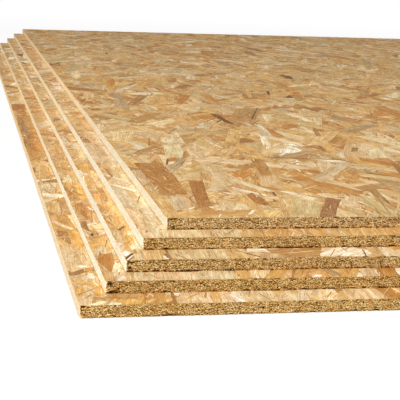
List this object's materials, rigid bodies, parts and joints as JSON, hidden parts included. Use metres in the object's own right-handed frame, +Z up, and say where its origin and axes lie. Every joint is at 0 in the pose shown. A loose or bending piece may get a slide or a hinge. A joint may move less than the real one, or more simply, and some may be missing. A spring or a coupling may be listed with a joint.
{
  "type": "stack of oriented strand board sheets",
  "caption": "Stack of full oriented strand board sheets laid flat and fanned out in uneven steps, raw stock for walls, floors and roofs.",
  "frame": {"origin": "middle of the stack's footprint, on the surface that the bottom sheet lies on", "axes": "+X along the sheets' short edges, +Y along their long edges and the face strands, towards the back of the stack, +Z up through the stack"},
  "size_m": [1.3466, 2.621, 0.06],
  "materials": {
    "strand_board": "unsanded pressed softwood strands, honey to tan, with square sawn edges"
  },
  "bodies": {
    "root": {"osb_sheet_1": "strand_board", "osb_sheet_2": "strand_board", "osb_sheet_3": "strand_board", "osb_sheet_4": "strand_board", "osb_sheet_5": "strand_board"}
  },
  "joints": []
}
